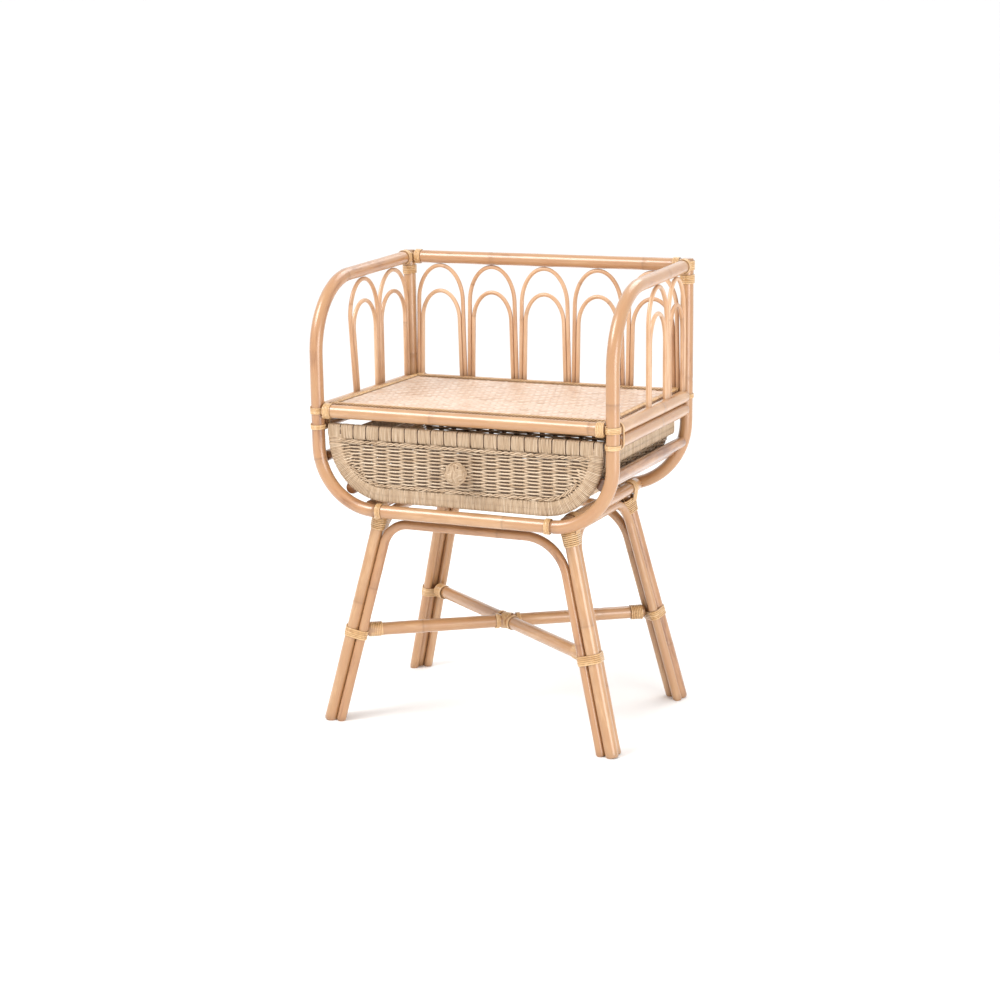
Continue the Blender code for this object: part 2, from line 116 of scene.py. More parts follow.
def strand_material(name, stops, joint_and_shade_colour, rough, coat, grain=(14.0, 2.2), bump=0.08):
    """Rattan: blotches and fibres that run along the strand, darker at the stem's joints and darker
    still with the painted shade that the ring attribute carries.
    grain is how often the blotches change along the strand and round it."""
    mat = bpy.data.materials.new(name)
    mat.use_nodes = True
    nodes = mat.node_tree.nodes
    link = mat.node_tree.links.new
    shader = nodes["Principled BSDF"]

    def fact(attribute):
        node = nodes.new("ShaderNodeAttribute")
        node.attribute_name = attribute
        return node.outputs["Fac"]

    def maths(operation, a, b):
        node = nodes.new("ShaderNodeMath")
        node.operation = operation
        for socket, value in zip(node.inputs, (a, b)):
            if isinstance(value, (int, float)):
                socket.default_value = value
            else:
                link(value, socket)
        return node.outputs["Value"]

    def noise(along_scale, around_scale, detail):
        mix = nodes.new("ShaderNodeCombineXYZ")
        link(maths("MULTIPLY", fact("along"), along_scale), mix.inputs["X"])
        link(maths("MULTIPLY", fact("around"), around_scale), mix.inputs["Y"])
        link(maths("MULTIPLY", fact("tone"), 57.0), mix.inputs["Z"])
        node = nodes.new("ShaderNodeTexNoise")
        node.inputs["Scale"].default_value = 1.0
        node.inputs["Detail"].default_value = detail
        link(mix.outputs["Vector"], node.inputs["Vector"])
        return node.outputs["Fac"]

    blotch = noise(*grain, 3.0)
    fibre = noise(60.0, 16.0, 5.0)
    tone = maths("MULTIPLY", maths("SUBTRACT", fact("tone"), 0.5), 0.30)
    value = maths("ADD", maths("ADD", maths("MULTIPLY", blotch, 0.75),
                               maths("MULTIPLY", fibre, 0.35)), tone)
    colours = ramp(nodes, stops)
    link(value, colours.inputs["Fac"])
    # the ring attribute mixes in a dark colour for the stem's joints and for painted shade: strand
    # sides, pole ends, rows behind stakes, dark cores and stakes
    joint_and_shade_mix = nodes.new("ShaderNodeMix")
    joint_and_shade_mix.data_type = "RGBA"
    joint_and_shade_mix.blend_type = "MIX"
    link(maths("MULTIPLY", fact("ring"), maths("ADD", fibre, 0.35)), joint_and_shade_mix.inputs["Factor"])
    link(colours.outputs["Color"], joint_and_shade_mix.inputs["A"])
    joint_and_shade_mix.inputs["B"].default_value = (*joint_and_shade_colour, 1.0)
    link(joint_and_shade_mix.outputs["Result"], shader.inputs["Base Color"])
    link(maths("ADD", maths("MULTIPLY", fibre, 0.12), rough - 0.06), shader.inputs["Roughness"])
    shader.inputs["Coat Weight"].default_value = coat
    shader.inputs["Coat Roughness"].default_value = 0.24
    bumps = nodes.new("ShaderNodeBump")
    bumps.inputs["Strength"].default_value = bump
    bumps.inputs["Distance"].default_value = 0.0004
    link(fibre, bumps.inputs["Height"])
    link(bumps.outputs["Normal"], shader.inputs["Normal"])
    return mat


POLE = strand_material("rattan_pole", [(0.20, (0.22, 0.085, 0.028)), (0.42, (0.43, 0.215, 0.095)),
                                       (0.62, (0.44, 0.235, 0.105)), (0.85, (0.57, 0.34, 0.175))],
                       (0.10, 0.035, 0.012), 0.34, 1.00)
CANE = strand_material("rattan_cane", [(0.20, (0.28, 0.12, 0.05)), (0.5, (0.52, 0.29, 0.15)),
                                       (0.8, (0.66, 0.43, 0.26))],
                       (0.13, 0.05, 0.02), 0.30, 0.55)
PEEL = strand_material("cane_binding", [(0.20, (0.34, 0.16, 0.05)), (0.5, (0.56, 0.33, 0.14)),
                                        (0.8, (0.72, 0.49, 0.26))],
                       (0.09, 0.035, 0.01), 0.30, 0.50)
SHELF = strand_material("woven_cane", [(0.2, (0.46, 0.28, 0.17)), (0.45, (0.72, 0.53, 0.40)),
                                       (0.75, (0.86, 0.73, 0.61))],
                        (0.30, 0.14, 0.06), 0.36, 0.25, grain=(22.0, 1.5))
WICKER = strand_material("wicker", [(0.2, (0.24, 0.145, 0.075)), (0.5, (0.47, 0.325, 0.20)),
                                    (0.8, (0.66, 0.51, 0.36))],
                         (0.06, 0.025, 0.01), 0.46, 0.10, grain=(30.0, 1.8), bump=0.5)


# ------------------------------------------------------------ sweeping strands along paths

def resample(path, step, closed=False):
    """Points at an even spacing along a path."""
    points = np.array([tuple(p) for p in path], float)
    if closed:
        points = np.vstack([points, points[:1]])
    lengths = distances(points)
    count = max(3, int(round(lengths[-1] / step)) + 1)
    at = np.linspace(0, lengths[-1], count)
    even = np.column_stack([np.interp(at, lengths, points[:, k]) for k in range(3)])
    return even[:-1] if closed else even


def ellipse(across, thick, sides):
    """A section: thick is along the path's normal, across is along its binormal."""
    angles = np.linspace(0, 2 * math.pi, sides, endpoint=False)
    return np.column_stack([thick * np.cos(angles), across * np.sin(angles)])


def unit(vectors):
    """The vectors at length one."""
    return vectors / np.maximum(np.linalg.norm(vectors, axis=-1, keepdims=True), 1e-12)


def distances(points):
    """How far along a path each of its points lies."""
    return np.r_[0, np.cumsum(np.linalg.norm(np.diff(points, axis=0), axis=1))]


def carried_normals(tangents):
    """Normals carried along a path with no twist."""
    normal = np.array([0, 0, 1.0]) if abs(tangents[0][2]) < 0.9 else np.array([1.0, 0, 0])
    normals = []
    for tangent in tangents:
        normal = unit(normal - tangent * normal.dot(tangent))
        normals.append(normal)
    return np.array(normals)


def sweep(path, section, normals=None, scale=None, closed=False, tone=0.5, ring=None, edge=0.0):
    """One strand: the section carried along the path. tone picks its colour, ring darkens it point
    by point for the stem's joints and for painted shade, and edge darkens its two sides as painted
    shade, as if the neighbouring strands shaded them."""
    path = np.asarray(path, float)
    count, sides = len(path), len(section)
    if closed:
        ahead = np.roll(path, -1, axis=0) - np.roll(path, 1, axis=0)
    else:
        ahead = np.gradient(path, axis=0)
    tangents = unit(ahead)
    if normals is None:
        normals = carried_normals(tangents)
    else:
        normals = np.broadcast_to(normals, path.shape)
        normals = unit(normals - tangents * (normals * tangents).sum(1, keepdims=True))
    across = np.cross(tangents, normals)
    scale = np.ones(count) if scale is None else scale
    ring = np.zeros(count) if ring is None else ring
    offsets = (section[None, :, 0, None] * normals[:, None, :]
               + section[None, :, 1, None] * across[:, None, :]) * scale[:, None, None]
    verts = (path[:, None, :] + offsets).reshape(-1, 3)
    rows = count if closed else count - 1
    i, j = np.meshgrid(np.arange(rows), np.arange(sides), indexing="ij")
    k, m = (i + 1) % count, (j + 1) % sides
    quads = np.stack([i * sides + j, k * sides + j, k * sides + m, i * sides + m], -1)
    faces = [list(map(int, q)) for q in quads.reshape(-1, 4)]
    if not closed:
        faces.append(list(range(sides)))
        faces.append(list(range((count - 1) * sides, count * sides))[::-1])
    along = distances(path)
    turn = np.abs(np.linspace(-1, 1, sides, endpoint=False))
    reach = np.abs(section[:, 1]) / np.abs(section[:, 1]).max()
    # painted shade: the strand's two sides darkened, standing in for the shadow in the gaps between
    # strands
    shade = edge * np.clip((reach - 0.6) / 0.4, 0, 1)
    return {"verts": verts, "faces": faces, "along": np.repeat(along, sides),
            "around": np.tile(turn, count),
            "tone": np.repeat(np.broadcast_to(tone, count), sides),
            "ring": np.clip(np.repeat(ring, sides) + np.tile(shade, count), 0, 1)}


def piece(name, strands, material, body, nodes=()):
    """One object made of strands, riding on a body, shown in place of the nodes."""
    faces, start = [], 0
    for strand in strands:
        faces += [[v + start for v in face] for face in strand["faces"]]
        start += len(strand["verts"])
    mesh = bpy.data.meshes.new(name)
    mesh.from_pydata(np.vstack([s["verts"] for s in strands]).tolist(), [], faces)
    for key in ("along", "around", "tone", "ring"):
        values = np.concatenate([s[key] for s in strands]).astype(np.float32)
        mesh.attributes.new(key, "FLOAT", "POINT").data.foreach_set("value", values)
    mesh.shade_smooth()
    mesh.set_sharp_from_angle(angle=math.radians(50))
    mesh.materials.append(material)
    obj = bpy.data.objects.new(name, mesh)
    bpy.context.scene.collection.objects.link(obj)
    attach(obj, body)
    if nodes:
        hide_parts(*nodes)
    return obj


# ------------------------------------------------------------ poles

def rounded(points, radii):
    """A polyline through the points, with each inner corner turned into an arc of its radius."""
    path = [Vector(points[0])]
    for before, corner, after, radius in zip(points, points[1:], points[2:], radii):
        corner = Vector(corner)
        back = (Vector(before) - corner).normalized()
        ahead = (Vector(after) - corner).normalized()
        half = back.angle(ahead) / 2
        centre = corner + (back + ahead).normalized() * radius / math.sin(half)
        start = corner + back * radius / math.tan(half) - centre
        axis = start.cross(corner + ahead * radius / math.tan(half) - centre).normalized()
        turn = math.pi - 2 * half
        steps = max(4, round(turn / math.radians(2)))
        path += [centre + Matrix.Rotation(turn * i / steps, 3, axis) @ start
                 for i in range(steps + 1)]
    path.append(Vector(points[-1]))
    return path


def pole_strand(name, path, radius, step=STEP, sides=20, spacing=0.31, shade=0.0):
    """A pole of natural rattan: a little uneven, with a low ring at each joint of the stem, and
    darkened near both ends as painted shade where it meets other parts. spacing is the distance
    between those joints, and the last argument darkens the whole pole as painted shade, for a pole
    that lies in shadow."""
    rng = random.Random(name)
    points = resample(path, step)
    along = distances(points)
    scale = 1 + 0.012 * np.sin(along * 41 + rng.random() * 6) * np.sin(along * 17 + rng.random())
    ring = np.zeros(len(points))
    at = rng.uniform(0.3, 0.8) * spacing
    while at < along[-1]:
        beyond = along - at
        scale += (0.020 * np.exp(-(beyond / 0.0030) ** 2)
                  - 0.02 * np.exp(-((beyond - 0.006) / 0.004) ** 2))
        ring += 0.34 * np.exp(-(beyond / 0.0012) ** 2)
        ring += 0.16 * np.exp(-((beyond - 0.005) / 0.007) ** 2)
        at += spacing * rng.uniform(0.85, 1.2)
    # painted shade: every pole darkened near its ends, where it meets the parts it joins
    for end in (along, along[-1] - along):
        ring += 0.35 * np.exp(-(end / 0.010) ** 2)
        scale -= 0.10 * np.exp(-(end / 0.0012) ** 2)
    return sweep(points, ellipse(radius, radius, sides), scale=scale, tone=rng.random() - shade,
                 ring=np.clip(ring, 0, 1))


def pole(node, path, radius, material=POLE, **detail):
    """A pole of the frame, shown in place of its node."""
    return piece("look_" + node, [pole_strand(node, path, radius, **detail)], material,
                 "frame", [node])


def rail(node, axis, radius=POLE_R, **detail):
    """A straight rail along X or Y, where its CAD node is."""
    low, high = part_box(node)
    start, end = (low + high) / 2, (low + high) / 2
    start[axis], end[axis] = low[axis], high[axis]
    return pole(node, [start, end], radius, **detail)


def arm_z(y):
    """Height of an arm's axis at y."""
    return TOP_Z - ARM_DROP * (HY - (y - CY)) / (2 * HY)


def frame_poles():
    for side in SIDES:
        x = side * HX
        front, back = CY - HY, CY + HY
        inner = back - POLE_R
        pole(SIDE[side] + "_side_pole",
             rounded([(x, inner, arm_z(inner)), (x, front, arm_z(front)), (x, front, BOTTOM_Z),
                      (x - side * FRONT_U_R, front, BOTTOM_Z)],
                     [ARM_BEND_R, FRONT_U_R - BEND_CLEAR]), POLE_R)
        pole("back_" + SIDE[side] + "_post",
             rounded([(x, back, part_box("back_left_post")[1].z), (x, back, BOTTOM_Z),
                      (x - side * BACK_U_R, back, BOTTOM_Z)], [BACK_U_R - BEND_CLEAR]), POLE_R)
        for name in ("shelf_%s_rail", "%s_kicker_rail", "bottom_%s_rail"):
            rail(name % SIDE[side], 1)
        # the guide poles and runners sit under the drawer in shadow, so their whole length is
        # darkened as painted shade
        rail(SIDE[side] + "_guide_pole", 1, GUIDE_R, shade=0.8)
        rail(SIDE[side] + "_drawer_runner", 1, shade=1.2)
    for name in ("top_back_rail", "shelf_front_rail", "shelf_back_rail", "bottom_front_rail",
                 "bottom_back_rail"):
        rail(name, 0)


def arch(node, axis):
    """A bent cane of the gallery: two legs, which may lean, and half an ellipse between them.
    Its feet reach a little into the rail below."""
    low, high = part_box(node)
    spread = ARCH_FEET.get(node[:6], (0.0, 0.0)) if axis else (BACK_FLARE, BACK_FLARE)
    rise = OUTER_RISE if "outer" in node else INNER_RISE
    lean_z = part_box(node.replace("inner", "outer"))[1].z - CANE_R - OUTER_RISE
    centre = (low + high) / 2
    half = (high[axis] - low[axis]) / 2 - CANE_R - max(spread[0], 0.0)
    top = high.z - CANE_R
    foot = low.z - 0.002
    path = [(-half, foot)]
    path += [(-half * math.cos(a), top - rise + rise * math.sin(a))
             for a in np.linspace(0, math.pi, 49)]
    path.append((half, foot))
    points = []
    for reach, z in path:
        share = max(0.0, (lean_z - z) / (lean_z - low.z))
        point = Vector((centre.x, centre.y, z))
        point[axis] = centre[axis] + reach + (-spread[0] if reach < 0 else spread[1]) * share
        points.append(point)
    pole(node, points, CANE_R, CANE, step=0.0025, sides=14, spacing=0.35)


def gallery():
    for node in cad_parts:
        if node.endswith(("outer_arch", "inner_arch")):
            arch(node, 0 if node.startswith("back") else 1)


# ------------------------------------------------------------ legs

def leg_ends(side, end):
    """The middle of a leg's foot and of its head; its level section is a circle."""
    low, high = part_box(END[end] + "_" + SIDE[side] + "_leg")
    outer = high if side > 0 else low
    deep = high if end > 0 else low
    inner = low if side > 0 else high
    near = low if end > 0 else high
    foot = Vector((outer.x - side * POLE_R, deep.y - end * POLE_R, 0))
    head = Vector((inner.x + side * POLE_R, near.y + end * POLE_R, high.z))
    return foot, head


def leg_point(side, end, z):
    """The point of a leg's axis at height z."""
    foot, head = leg_ends(side, end)
    return foot.lerp(head, z / head.z)


def beside_leg(across):
    """How far an arch pole lies from the leg beside it, along X (0) or Y (1)."""
    foot, head = leg_ends(1, 1)
    slope = (head - foot).normalized()
    return (POLE_R + THIN_R) / math.sqrt(1 - slope[across] ** 2)


def level_feet(obj):
    """Cut a slanted pole level where it stands on the floor."""
    for vert in obj.data.vertices:
        vert.co.z = max(vert.co.z, 0.0)


def arch_leg_point(side, end, z, across):
    """A point on the arch pole that runs down beside a leg, inside it along X (0) or Y (1)."""
    point = leg_point(side, end, z)
    point[across] -= (side, end)[across] * beside_leg(across)
    return point


def legs():
    for end in (-1, 1):
        for side in SIDES:
            foot, head = leg_ends(side, end)
            level_feet(pole(END[end] + "_" + SIDE[side] + "_leg", [foot, head], POLE_R))
        node = END[end] + "_leg_arch"
        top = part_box(node)[1].z - THIN_R
        points = [arch_leg_point(s, end, z, 0) for s, z in ((-1, 0), (-1, top), (1, top), (1, 0))]
        level_feet(pole(node, rounded(points, LEG_ARCH_BENDS), THIN_R))
    for side in SIDES:
        node = SIDE[side] + "_leg_arch"
        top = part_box(node)[1].z - THIN_R
        points = [arch_leg_point(side, e, z, 1) for e, z in ((-1, 0), (-1, top), (1, top), (1, 0))]
        level_feet(pole(node, rounded(points, (SIDE_ARCH_BEND, SIDE_ARCH_BEND)), THIN_R))
    for node, sign in (("stretcher_front_left", 1), ("stretcher_back_left", -1)):
        low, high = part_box(node)
        cut = POLE_R * 0.6          # the box reaches past the middle of the slanted end
        z = (low.z + high.z) / 2
        start = Vector((low.x + cut, (low.y + cut) if sign > 0 else (high.y - cut), z))
        finish = Vector((high.x - cut, (high.y - cut) if sign > 0 else (low.y + cut), z))
        pole(node, [start, finish], POLE_R)


# ------------------------------------------------------------ bindings, as (width, turns)

SHELF_BIND = (0.0140, 4)
KICKER_BIND = (0.0110, 3)
RAIL_END_BIND = (0.017, 5)
BACK_BIND = (0.0105, 3)
SIDE_RAILS_BIND = (0.0080, 2)
CORNER_BIND = (0.020, 5)
CORNER_LOW_BIND = (0.019, 5)
CORNER_SIDE_BIND = (0.015, 4)
SPLICE_TURNS = 4
BUNDLE_BIND = (0.020, 5)
STRETCHER_BIND = (0.025, 7)
LEG_TOP_BIND = (0.030, 8)
LEG_RAIL_BIND = (0.022, 6)
CROSS_BIND = (0.011, 3)
CROSS_MIDDLE_BIND = (0.020, 6)


def hull(points):
    """The convex outline of points in a plane."""
    points = sorted(map(tuple, points))
    halves = []
    for order in (points, points[::-1]):
        chain = []
        for p in order:
            while len(chain) > 1:
                (ax, ay), (bx, by) = chain[-2:]
                if (bx - ax) * (p[1] - ay) - (by - ay) * (p[0] - ax) > 0:
                    break
                chain.pop()
            chain.append(p)
        halves += chain[:-1]
    return np.array(halves)


def bind(name, centre, axis, circles, width, turns, nodes=(), flare=0.0):
    """A strand of peel wound tightly round one or more poles. circles are (middle, radius) of
    the poles where they cross the binding's plane. flare widens the winding along its axis."""
    rng = random.Random(name)
    axis = Vector(axis).normalized()
    side = axis.orthogonal().normalized()
    other = axis.cross(side)
    centre = Vector(centre)
    pitch = width / turns
    ring = np.linspace(0, 2 * math.pi, 48, endpoint=False)
    points = []
    for where, radius in circles:
        offset = Vector(where) - centre
        reach = radius + PEEL_T * 0.6
        points += [(offset.dot(side) + reach * math.cos(a), offset.dot(other) + reach * math.sin(a))
                   for a in ring]
    outline = hull(points)
    loop = resample([(x, y, 0) for x, y in outline], 0.0012, closed=True)[:, :2]
    inner = loop.mean(axis=0)
    count = len(loop)
    total = turns * count
    index = np.arange(total + 1)
    flat = loop[index % count]
    shift = (index / total - 0.5) * (width - pitch)
    flat = flat * (1 + flare * index / total)[:, None]
    local = np.array(side)[None] * flat[:, :1] + np.array(other)[None] * flat[:, 1:]
    path = np.array(centre)[None] + local + np.array(axis)[None] * shift[:, None]
    edge = np.roll(loop, -1, axis=0) - np.roll(loop, 1, axis=0)
    out = unit(np.column_stack([edge[:, 1], -edge[:, 0]]))
    out *= np.sign((out * (loop - inner)).sum(1))[:, None]
    out = out[index % count]
    normals = np.array(side)[None] * out[:, :1] + np.array(other)[None] * out[:, 1:]
    wave = 1 + 0.06 * np.sin(index * 0.21 + rng.random() * 6)
    tones = np.array([rng.uniform(0.1, 1.0) for _ in range(turns + 2)])
    tone = np.interp(index / count, np.arange(len(tones)), tones)
    # edge darkens the strand's sides: painted shade between the turns of the winding
    strand = sweep(path, ellipse(pitch * 0.46, min(pitch * 0.5, 0.0015), 12), normals=normals,
                   scale=wave, tone=tone, edge=0.9)
    return piece(name, [strand], PEEL, "frame", nodes)


def bindings():
    """The windings round the posts, the rails' ends, the top back corners and the splices."""
    front, back = CY - HY, CY + HY
    for side in SIDES:
        x = side * HX
        label = SIDE[side]
        # front posts, at the shelf rail and at the rail under it
        kicker_z = middle(label + "_kicker_rail").z
        bind("binding_front_" + label + "_shelf", (x, front, SHELF_Z + 0.001), (0, 0, 1),
             [((x, front, SHELF_Z), POLE_R)], *SHELF_BIND)
        bind("binding_front_" + label + "_kicker", (x, front, kicker_z - 0.004), (0, 0, 1),
             [((x, front, SHELF_Z), POLE_R)], *KICKER_BIND)
        # ends of the shelf's front and back rails, and the back posts beside them
        for end, y in ((-1, front), (1, back)):
            inner = x - side * (POLE_R + 0.0085)
            bind("binding_" + END[end] + "_" + label + "_rail_end", (inner, y, SHELF_Z),
                 (1, 0, 0), [((inner, y, SHELF_Z), POLE_R)], *RAIL_END_BIND)
        bind("binding_back_" + label + "_shelf", (x, back, SHELF_Z), (0, 0, 1),
             [((x, back, SHELF_Z), POLE_R)], *BACK_BIND)
        # the strip that holds the two side rails together behind the front post
        y = front + POLE_R + 0.005
        bind("binding_" + label + "_rails", (x, y, (SHELF_Z + kicker_z) / 2), (0, 1, 0),
             [((x, y, SHELF_Z), POLE_R), ((x, y, kicker_z), POLE_R)],
             *SIDE_RAILS_BIND)
        # top back corner
        bind("binding_top_" + label + "_post", (x, back, TOP_Z), (0, 0, 1),
             [((x, back, TOP_Z), POLE_R)], *CORNER_BIND)
        bind("binding_top_" + label + "_below", (x, back, TOP_Z - 0.023), (0, 0, 1),
             [((x, back, TOP_Z), POLE_R)], *CORNER_LOW_BIND)
        inner = x - side * (POLE_R + 0.008)
        bind("binding_top_" + label + "_rail", (inner, back, TOP_Z), (1, 0, 0),
             [((inner, back, TOP_Z), POLE_R)], *CORNER_SIDE_BIND)
        y = back - POLE_R - 0.008
        bind("binding_top_" + label + "_arm", (x, y, arm_z(y)), (0, 1, 0),
             [((x, y, arm_z(y)), POLE_R)], *CORNER_SIDE_BIND)
        for end in (-1, 1):
            node = "splice_wrap_" + END[end] + "_" + label
            spot = middle(node)
            bind("binding_" + node, spot, (1, 0, 0), [(spot, POLE_R)],
                 2 * half_size(node).x, SPLICE_TURNS, [node])
            leg_bindings(side, end)


def leg_bindings(side, end):
    """The windings at the top of a leg and where the stretcher meets it."""
    label = END[end] + "_" + SIDE[side]
    foot, head = leg_ends(side, end)
    slope = (head - foot).normalized()
    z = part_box("stretcher_front_left")[0].z + POLE_R
    spot = leg_point(side, end, z)
    bundle = [(spot, POLE_R)]
    bundle += [(arch_leg_point(side, end, spot.z, axis), THIN_R) for axis in (0, 1)]
    bind("binding_bundle_" + label, spot, slope, bundle, *BUNDLE_BIND)
    inward = Vector((-spot.x, CY - spot.y, 0)).normalized()
    coil = Vector((spot.x, spot.y, z)) + inward * 0.040
    bind("binding_stretcher_" + label, coil, inward, [(coil, POLE_R)],
         *STRETCHER_BIND)
    rail_spot = Vector((BOTTOM_SIDE.x * side, head.y - end * 0.001, BOTTOM_SIDE.z))
    low = head.z - 0.018
    bundle = [(leg_point(side, end, low), POLE_R), (arch_leg_point(side, end, low, 1), THIN_R)]
    bind("binding_leg_top_" + label, leg_point(side, end, low), slope, bundle, *LEG_TOP_BIND,
         flare=0.14)
    below = Vector((rail_spot.x, rail_spot.y, rail_spot.z - POLE_R - THIN_R))
    bind("binding_leg_rail_" + label, rail_spot, (0, 1, 0),
         [(rail_spot, POLE_R), (below, THIN_R)], *LEG_RAIL_BIND)


def lashing():
    """The windings over the crossing of the stretchers and on their four arms beside it."""
    low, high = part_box("stretcher_front_left")
    centre = Vector((0, CY, low.z + POLE_R))
    beside = 0.0182
    along = Vector((high.x - low.x, high.y - low.y, 0)).normalized()
    for index, sign in enumerate((1, -1)):
        axis = Vector((along.x, sign * along.y, 0))
        for step, shift in enumerate((-beside, beside)):
            spot = centre + axis * shift
            bind("binding_cross_%d_%d" % (index, step), spot, axis, [(spot, POLE_R)],
                 *CROSS_BIND)
    bind("binding_cross_middle", centre, (1, 0, 0), [(centre, POLE_R * 1.12)],
         *CROSS_MIDDLE_BIND)


# ------------------------------------------------------------ shelf

STRIP_W = 0.0088               # cane strips of the shelf
STRIP_T = 0.0007
STRIP_COVER = 0.94             # share of its lane that a strip fills
STRIP_LIFT = 0.0006            # how far a strip rises and dips
LANE_STEPS = 4                 # points along a strip in each lane it crosses
TRIM_INSET = 0.0055            # from the panel's edge to the middle of its braided trim


def strip(start, end, across, heights, tone):
    """A flat strip of cane with its height in each lane it crosses."""
    at = (np.arange(len(heights) * LANE_STEPS + 1) / LANE_STEPS) - 0.5
    wave = STRIP_LIFT * np.interp(at, np.arange(len(heights)), heights)
    share = np.linspace(0, 1, len(wave))[:, None]
    path = np.array(start)[None] * (1 - share) + np.array(end)[None] * share
    path = path + np.array((0, 0, 1))[None] * wave[:, None]
    half = across / 2
    section = np.array([(0, -half), (STRIP_T, -half * 0.8), (STRIP_T, half * 0.8), (0, half),
                        (-STRIP_T * 0.3, 0)])
    # edge darkens each strip's sides: painted shade between neighbouring strips
    return sweep(path, section, normals=np.array((0, 0, 1)), tone=tone, edge=0.55)


def twill(i, j):
    """Height of the weave where strip i along Y crosses strip j along X: over two, under two."""
    return 1.0 if (i - j) % 4 < 2 else -1.0


def shelf():
    """Strips woven in twill over a board, with a braid along each edge."""
    low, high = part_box("shelf_panel")
    rng = random.Random("shelf")
    columns = round((high.x - low.x) / STRIP_W)
    rows = round((high.y - low.y) / STRIP_W)
    wide, deep = (high.x - low.x) / columns, (high.y - low.y) / rows
    level = high.z - STRIP_T
    strands = []
    for i in range(columns):
        x = low.x + (i + 0.5) * wide
        heights = [twill(i, j) for j in range(rows)]
        strands.append(strip((x, low.y, level), (x, high.y, level), wide * STRIP_COVER, heights,
                             0.45 + 0.6 * rng.random()))
    for j in range(rows):
        y = low.y + (j + 0.5) * deep
        heights = [-twill(i, j) for i in range(columns)]
        strands.append(strip((low.x, y, level), (high.x, y, level), deep * STRIP_COVER, heights,
                             0.05 + 0.6 * rng.random()))
    piece("woven_shelf", strands, SHELF, "frame", ["shelf_panel"])
    board_z = level - 0.0035
    backing = sweep([(low.x, CY, board_z), (high.x, CY, board_z)],
                    ellipse(half_size("shelf_panel").y, 0.0022, 24), normals=np.array((0, 0, 1.0)),
                    tone=0.2)
    piece("shelf_board", [backing], SHELF, "frame")
    x, front, back = high.x - TRIM_INSET, low.y + TRIM_INSET, high.y - TRIM_INSET
    z = high.z + 0.0012
    edges = {"back": ((-x, back, z), (x, back, z)), "front": ((-x, front, z), (x, front, z)),
             "left": ((-x, front, z), (-x, back, z)), "right": ((x, front, z), (x, back, z))}
    for name, (start, end) in edges.items():
        piece("shelf_trim_" + name, braid([start, end], 0.0036, 0.0019, 0.018, 3,
                                          np.array((0, 0, 1.0))), PEEL, "frame")


def braid(path, radius, thick, pitch, plies, normal, flatten=0.55):
    """Strands twisted round one another along a path."""
    points = resample(path, 0.0015)
    along = distances(points)
    ahead = unit(np.gradient(points, axis=0))
    up = unit(np.broadcast_to(normal, points.shape)
              - ahead * (np.broadcast_to(normal, points.shape) * ahead).sum(1, keepdims=True))
    across = np.cross(ahead, up)
    strands = []
    for ply in range(plies):
        angle = 2 * math.pi * (along / pitch + ply / plies)
        offset = (across * np.cos(angle)[:, None] * radius
                  + up * np.sin(angle)[:, None] * radius * flatten)
        # edge darkens each ply's sides: painted shade in the grooves between the plies
        strands.append(sweep(points + offset, ellipse(thick, thick * 0.8, 10), normals=up,
                             tone=0.4 + 0.6 * ply / plies, edge=0.85))
    return strands


# ------------------------------------------------------------ drawer

def outline_x(z, half, corner_z, corner_r):
    """Half width of the drawer's outline at height z."""
    if z >= corner_z:
        return half
    return half - corner_r + math.sqrt(max(corner_r ** 2 - (corner_z - z) ** 2, 0))


def border_path(inset, half, top, bottom):
    """A line inside the drawer front's edge, in X and Z: left top, round the bottom, right top."""
    radius = CORNER_R - inset
    cx, cz = half - CORNER_R, bottom + CORNER_R
    angles = np.linspace(0, math.pi / 2, 40)
    path = [(-cx - radius, top - inset)]
    path += [(-cx - radius * math.cos(a), cz - radius * math.sin(a)) for a in angles]
    path += [(cx + radius * math.sin(a), cz - radius * math.cos(a)) for a in angles]
    path.append((cx + radius, top - inset))
    return path


def wrap_loops(path, thin_way, half_w, half_t, pitch, seed, tones=(0.35, 0.75), block=0):
    """Strands wound side by side round a flat bar: closed loops across the path. thin_way is
    the direction of the bar's thickness. block leaves a gap after that many strands."""
    rng = random.Random(seed)
    points = resample(path, pitch)
    tangents = unit(np.gradient(points, axis=0))
    strands = []
    angles = np.linspace(0, 2 * math.pi, 28, endpoint=False)
    square_w, square_t = 0.42, 0.67        # 1 is an ellipse, and less is squarer
    cos, sin = np.cos(angles), np.sin(angles)
    wide = np.sign(cos) * np.abs(cos) ** square_w
    thick = np.sign(sin) * np.abs(sin) ** square_t
    for index, (point, tangent) in enumerate(zip(points, tangents)):
        across = unit(np.cross(tangent, thin_way))
        tilt = rng.uniform(-0.03, 0.03)
        swell = 1 + rng.uniform(-0.012, 0.012)
        if block:
            swell += 0.010 * math.sin((index // block) * 2.4)
        if block and index % block == 0:
            continue
        loop = (point[None] + across[None] * (half_w * swell * wide)[:, None]
                + thin_way[None] * (half_t * swell * thick)[:, None]
                + tangent[None] * (tilt * half_w * wide)[:, None])
        out = unit(across[None] * wide[:, None] * half_t
                   + thin_way[None] * thick[:, None] * half_w)
        # edge darkens each loop's sides: painted shade between neighbouring loops
        strands.append(sweep(loop, ellipse(pitch * 0.47, PEEL_T * 0.8, 8), normals=out,
                             closed=True, tone=rng.uniform(*tones), edge=0.45))
    return strands


def bar_core(path, thin_way, half_w, half_t):
    """The solid bar inside a wrapping, a little smaller than it, coloured dark as painted shade
    where it shows between the loops.
    """
    shrink = 0.94
    points = resample(path, 0.006)
    return sweep(points, ellipse(half_w * shrink, half_t * shrink, 16), normals=thin_way,
                 tone=0.1, ring=np.full(len(points), 0.8))


